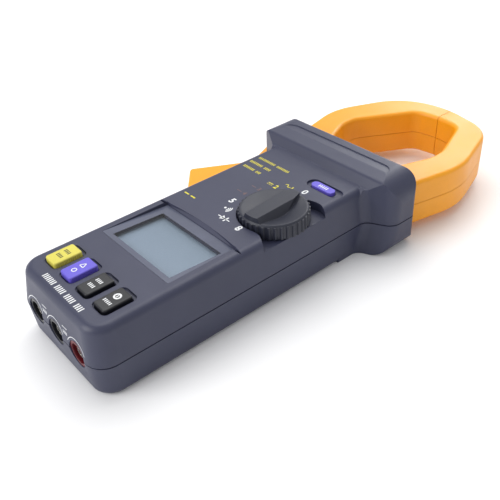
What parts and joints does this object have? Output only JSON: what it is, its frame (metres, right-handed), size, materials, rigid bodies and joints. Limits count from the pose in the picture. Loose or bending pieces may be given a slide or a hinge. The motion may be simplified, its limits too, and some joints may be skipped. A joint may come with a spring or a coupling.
{
  "type": "clamp meter",
  "caption": "Hand-held clamp meter: opening jaw with a trigger lever, range knob, display window, push keys and input sockets in the end.",
  "frame": {"origin": "centre of the flat back, half way between the socket end and the jaw's tip", "axes": "+X to the right as the display is read, +Y from the sockets towards the jaw, +Z out of the display face"},
  "size_m": [0.1144, 0.2797, 0.044],
  "materials": {
    "case_plastic": "fine-grained slate grey moulding",
    "orange_plastic": "satin amber moulding",
    "black_plastic": "black moulding",
    "red_plastic": "deep red moulding",
    "white_plastic": "white moulding",
    "knob_plastic": "dark satin grey moulding",
    "yellow_rubber": "pale yellow rubber",
    "violet_rubber": "violet rubber",
    "black_rubber": "black rubber",
    "grey_rubber": "grey silicone",
    "clear_lens": "clear moulded window",
    "display_glass": "grey display cell",
    "board_laminate": "green solder mask",
    "battery_label": "dark wrapped can",
    "zinc_steel": "zinc plated",
    "spring_steel": "bright hardened",
    "tin_plate": "bright tin plated",
    "gold_plate": "plated brass",
    "core_steel": "dark laminated steel",
    "copper_wire": "enamelled copper winding"
  },
  "bodies": {
    "case": {"case_top": "case_plastic", "case_bottom": "case_plastic", "case_screws": "zinc_steel", "fixed_arm_screw": "zinc_steel", "battery_door_screw": "zinc_steel", "battery": "battery_label", "battery_studs": "tin_plate", "battery_terminal_block": "black_plastic", "battery_contacts": "tin_plate", "battery_door": "case_plastic", "display_lens": "clear_lens", "lcd_glass": "display_glass", "lcd_holder": "white_plastic", "circuit_board": "board_laminate", "board_components": "black_plastic", "buzzer": "black_plastic", "switch_tracks": "gold_plate", "board_screws": "zinc_steel", "keypad_mat": "grey_rubber", "hold_dome": "grey_rubber", "detent_spring": "spring_steel", "left_socket_sleeve": "black_plastic", "left_contact": "tin_plate", "middle_socket_sleeve": "black_plastic", "middle_contact": "tin_plate", "right_socket_sleeve": "red_plastic", "right_contact": "tin_plate", "fixed_arm_top": "orange_plastic", "fixed_arm_bottom": "orange_plastic", "fixed_core": "core_steel", "fixed_winding": "copper_wire", "hall_sensor": "black_plastic", "pivot_pin": "spring_steel"},
    "moving_jaw": {"moving_arm_top": "orange_plastic", "moving_arm_bottom": "orange_plastic", "moving_core": "core_steel", "moving_winding": "copper_wire", "pivot_bushes": "gold_plate", "return_spring": "spring_steel"},
    "knob": {"range_knob": "knob_plastic", "switch_rotor": "white_plastic", "switch_wipers": "gold_plate", "knob_screw": "zinc_steel"},
    "yellow_key_body": {"yellow_key": "yellow_rubber"},
    "violet_key_body": {"violet_key": "violet_rubber"},
    "black_left_key_body": {"black_left_key": "black_rubber"},
    "black_right_key_body": {"black_right_key": "black_rubber"},
    "hold_key_body": {"hold_key": "violet_rubber"}
  },
  "joints": [
    {"name": "jaw_hinge", "type": "hinge", "parent": "case", "child": "moving_jaw", "pos_m": [-0.0315, 0.034, 0.0187], "axis": [0, 0, 1], "range_deg": [0, 24], "stiffness_Nm_per_rad": 2.4, "springref_deg": -17.19},
    {"name": "knob_turn", "type": "hinge", "parent": "case", "child": "knob", "pos_m": [0.0184, -0.0252, 0.034], "axis": [0, 0, 1], "range_deg": [0, 148]},
    {"name": "yellow_key_press", "type": "slide", "parent": "case", "child": "yellow_key_body", "axis": [0, 0, -1], "range_m": [0, 0.001], "stiffness_N_per_m": 600, "springref_m": -0.0005},
    {"name": "violet_key_press", "type": "slide", "parent": "case", "child": "violet_key_body", "axis": [0, 0, -1], "range_m": [0, 0.001], "stiffness_N_per_m": 600, "springref_m": -0.0005},
    {"name": "black_left_key_press", "type": "slide", "parent": "case", "child": "black_left_key_body", "axis": [0, 0, -1], "range_m": [0, 0.001], "stiffness_N_per_m": 600, "springref_m": -0.0005},
    {"name": "black_right_key_press", "type": "slide", "parent": "case", "child": "black_right_key_body", "axis": [0, 0, -1], "range_m": [0, 0.001], "stiffness_N_per_m": 600, "springref_m": -0.0005},
    {"name": "hold_key_press", "type": "slide", "parent": "case", "child": "hold_key_body", "axis": [0, 0, -1], "range_m": [0, 0.001], "stiffness_N_per_m": 600, "springref_m": -0.0005}
  ]
}
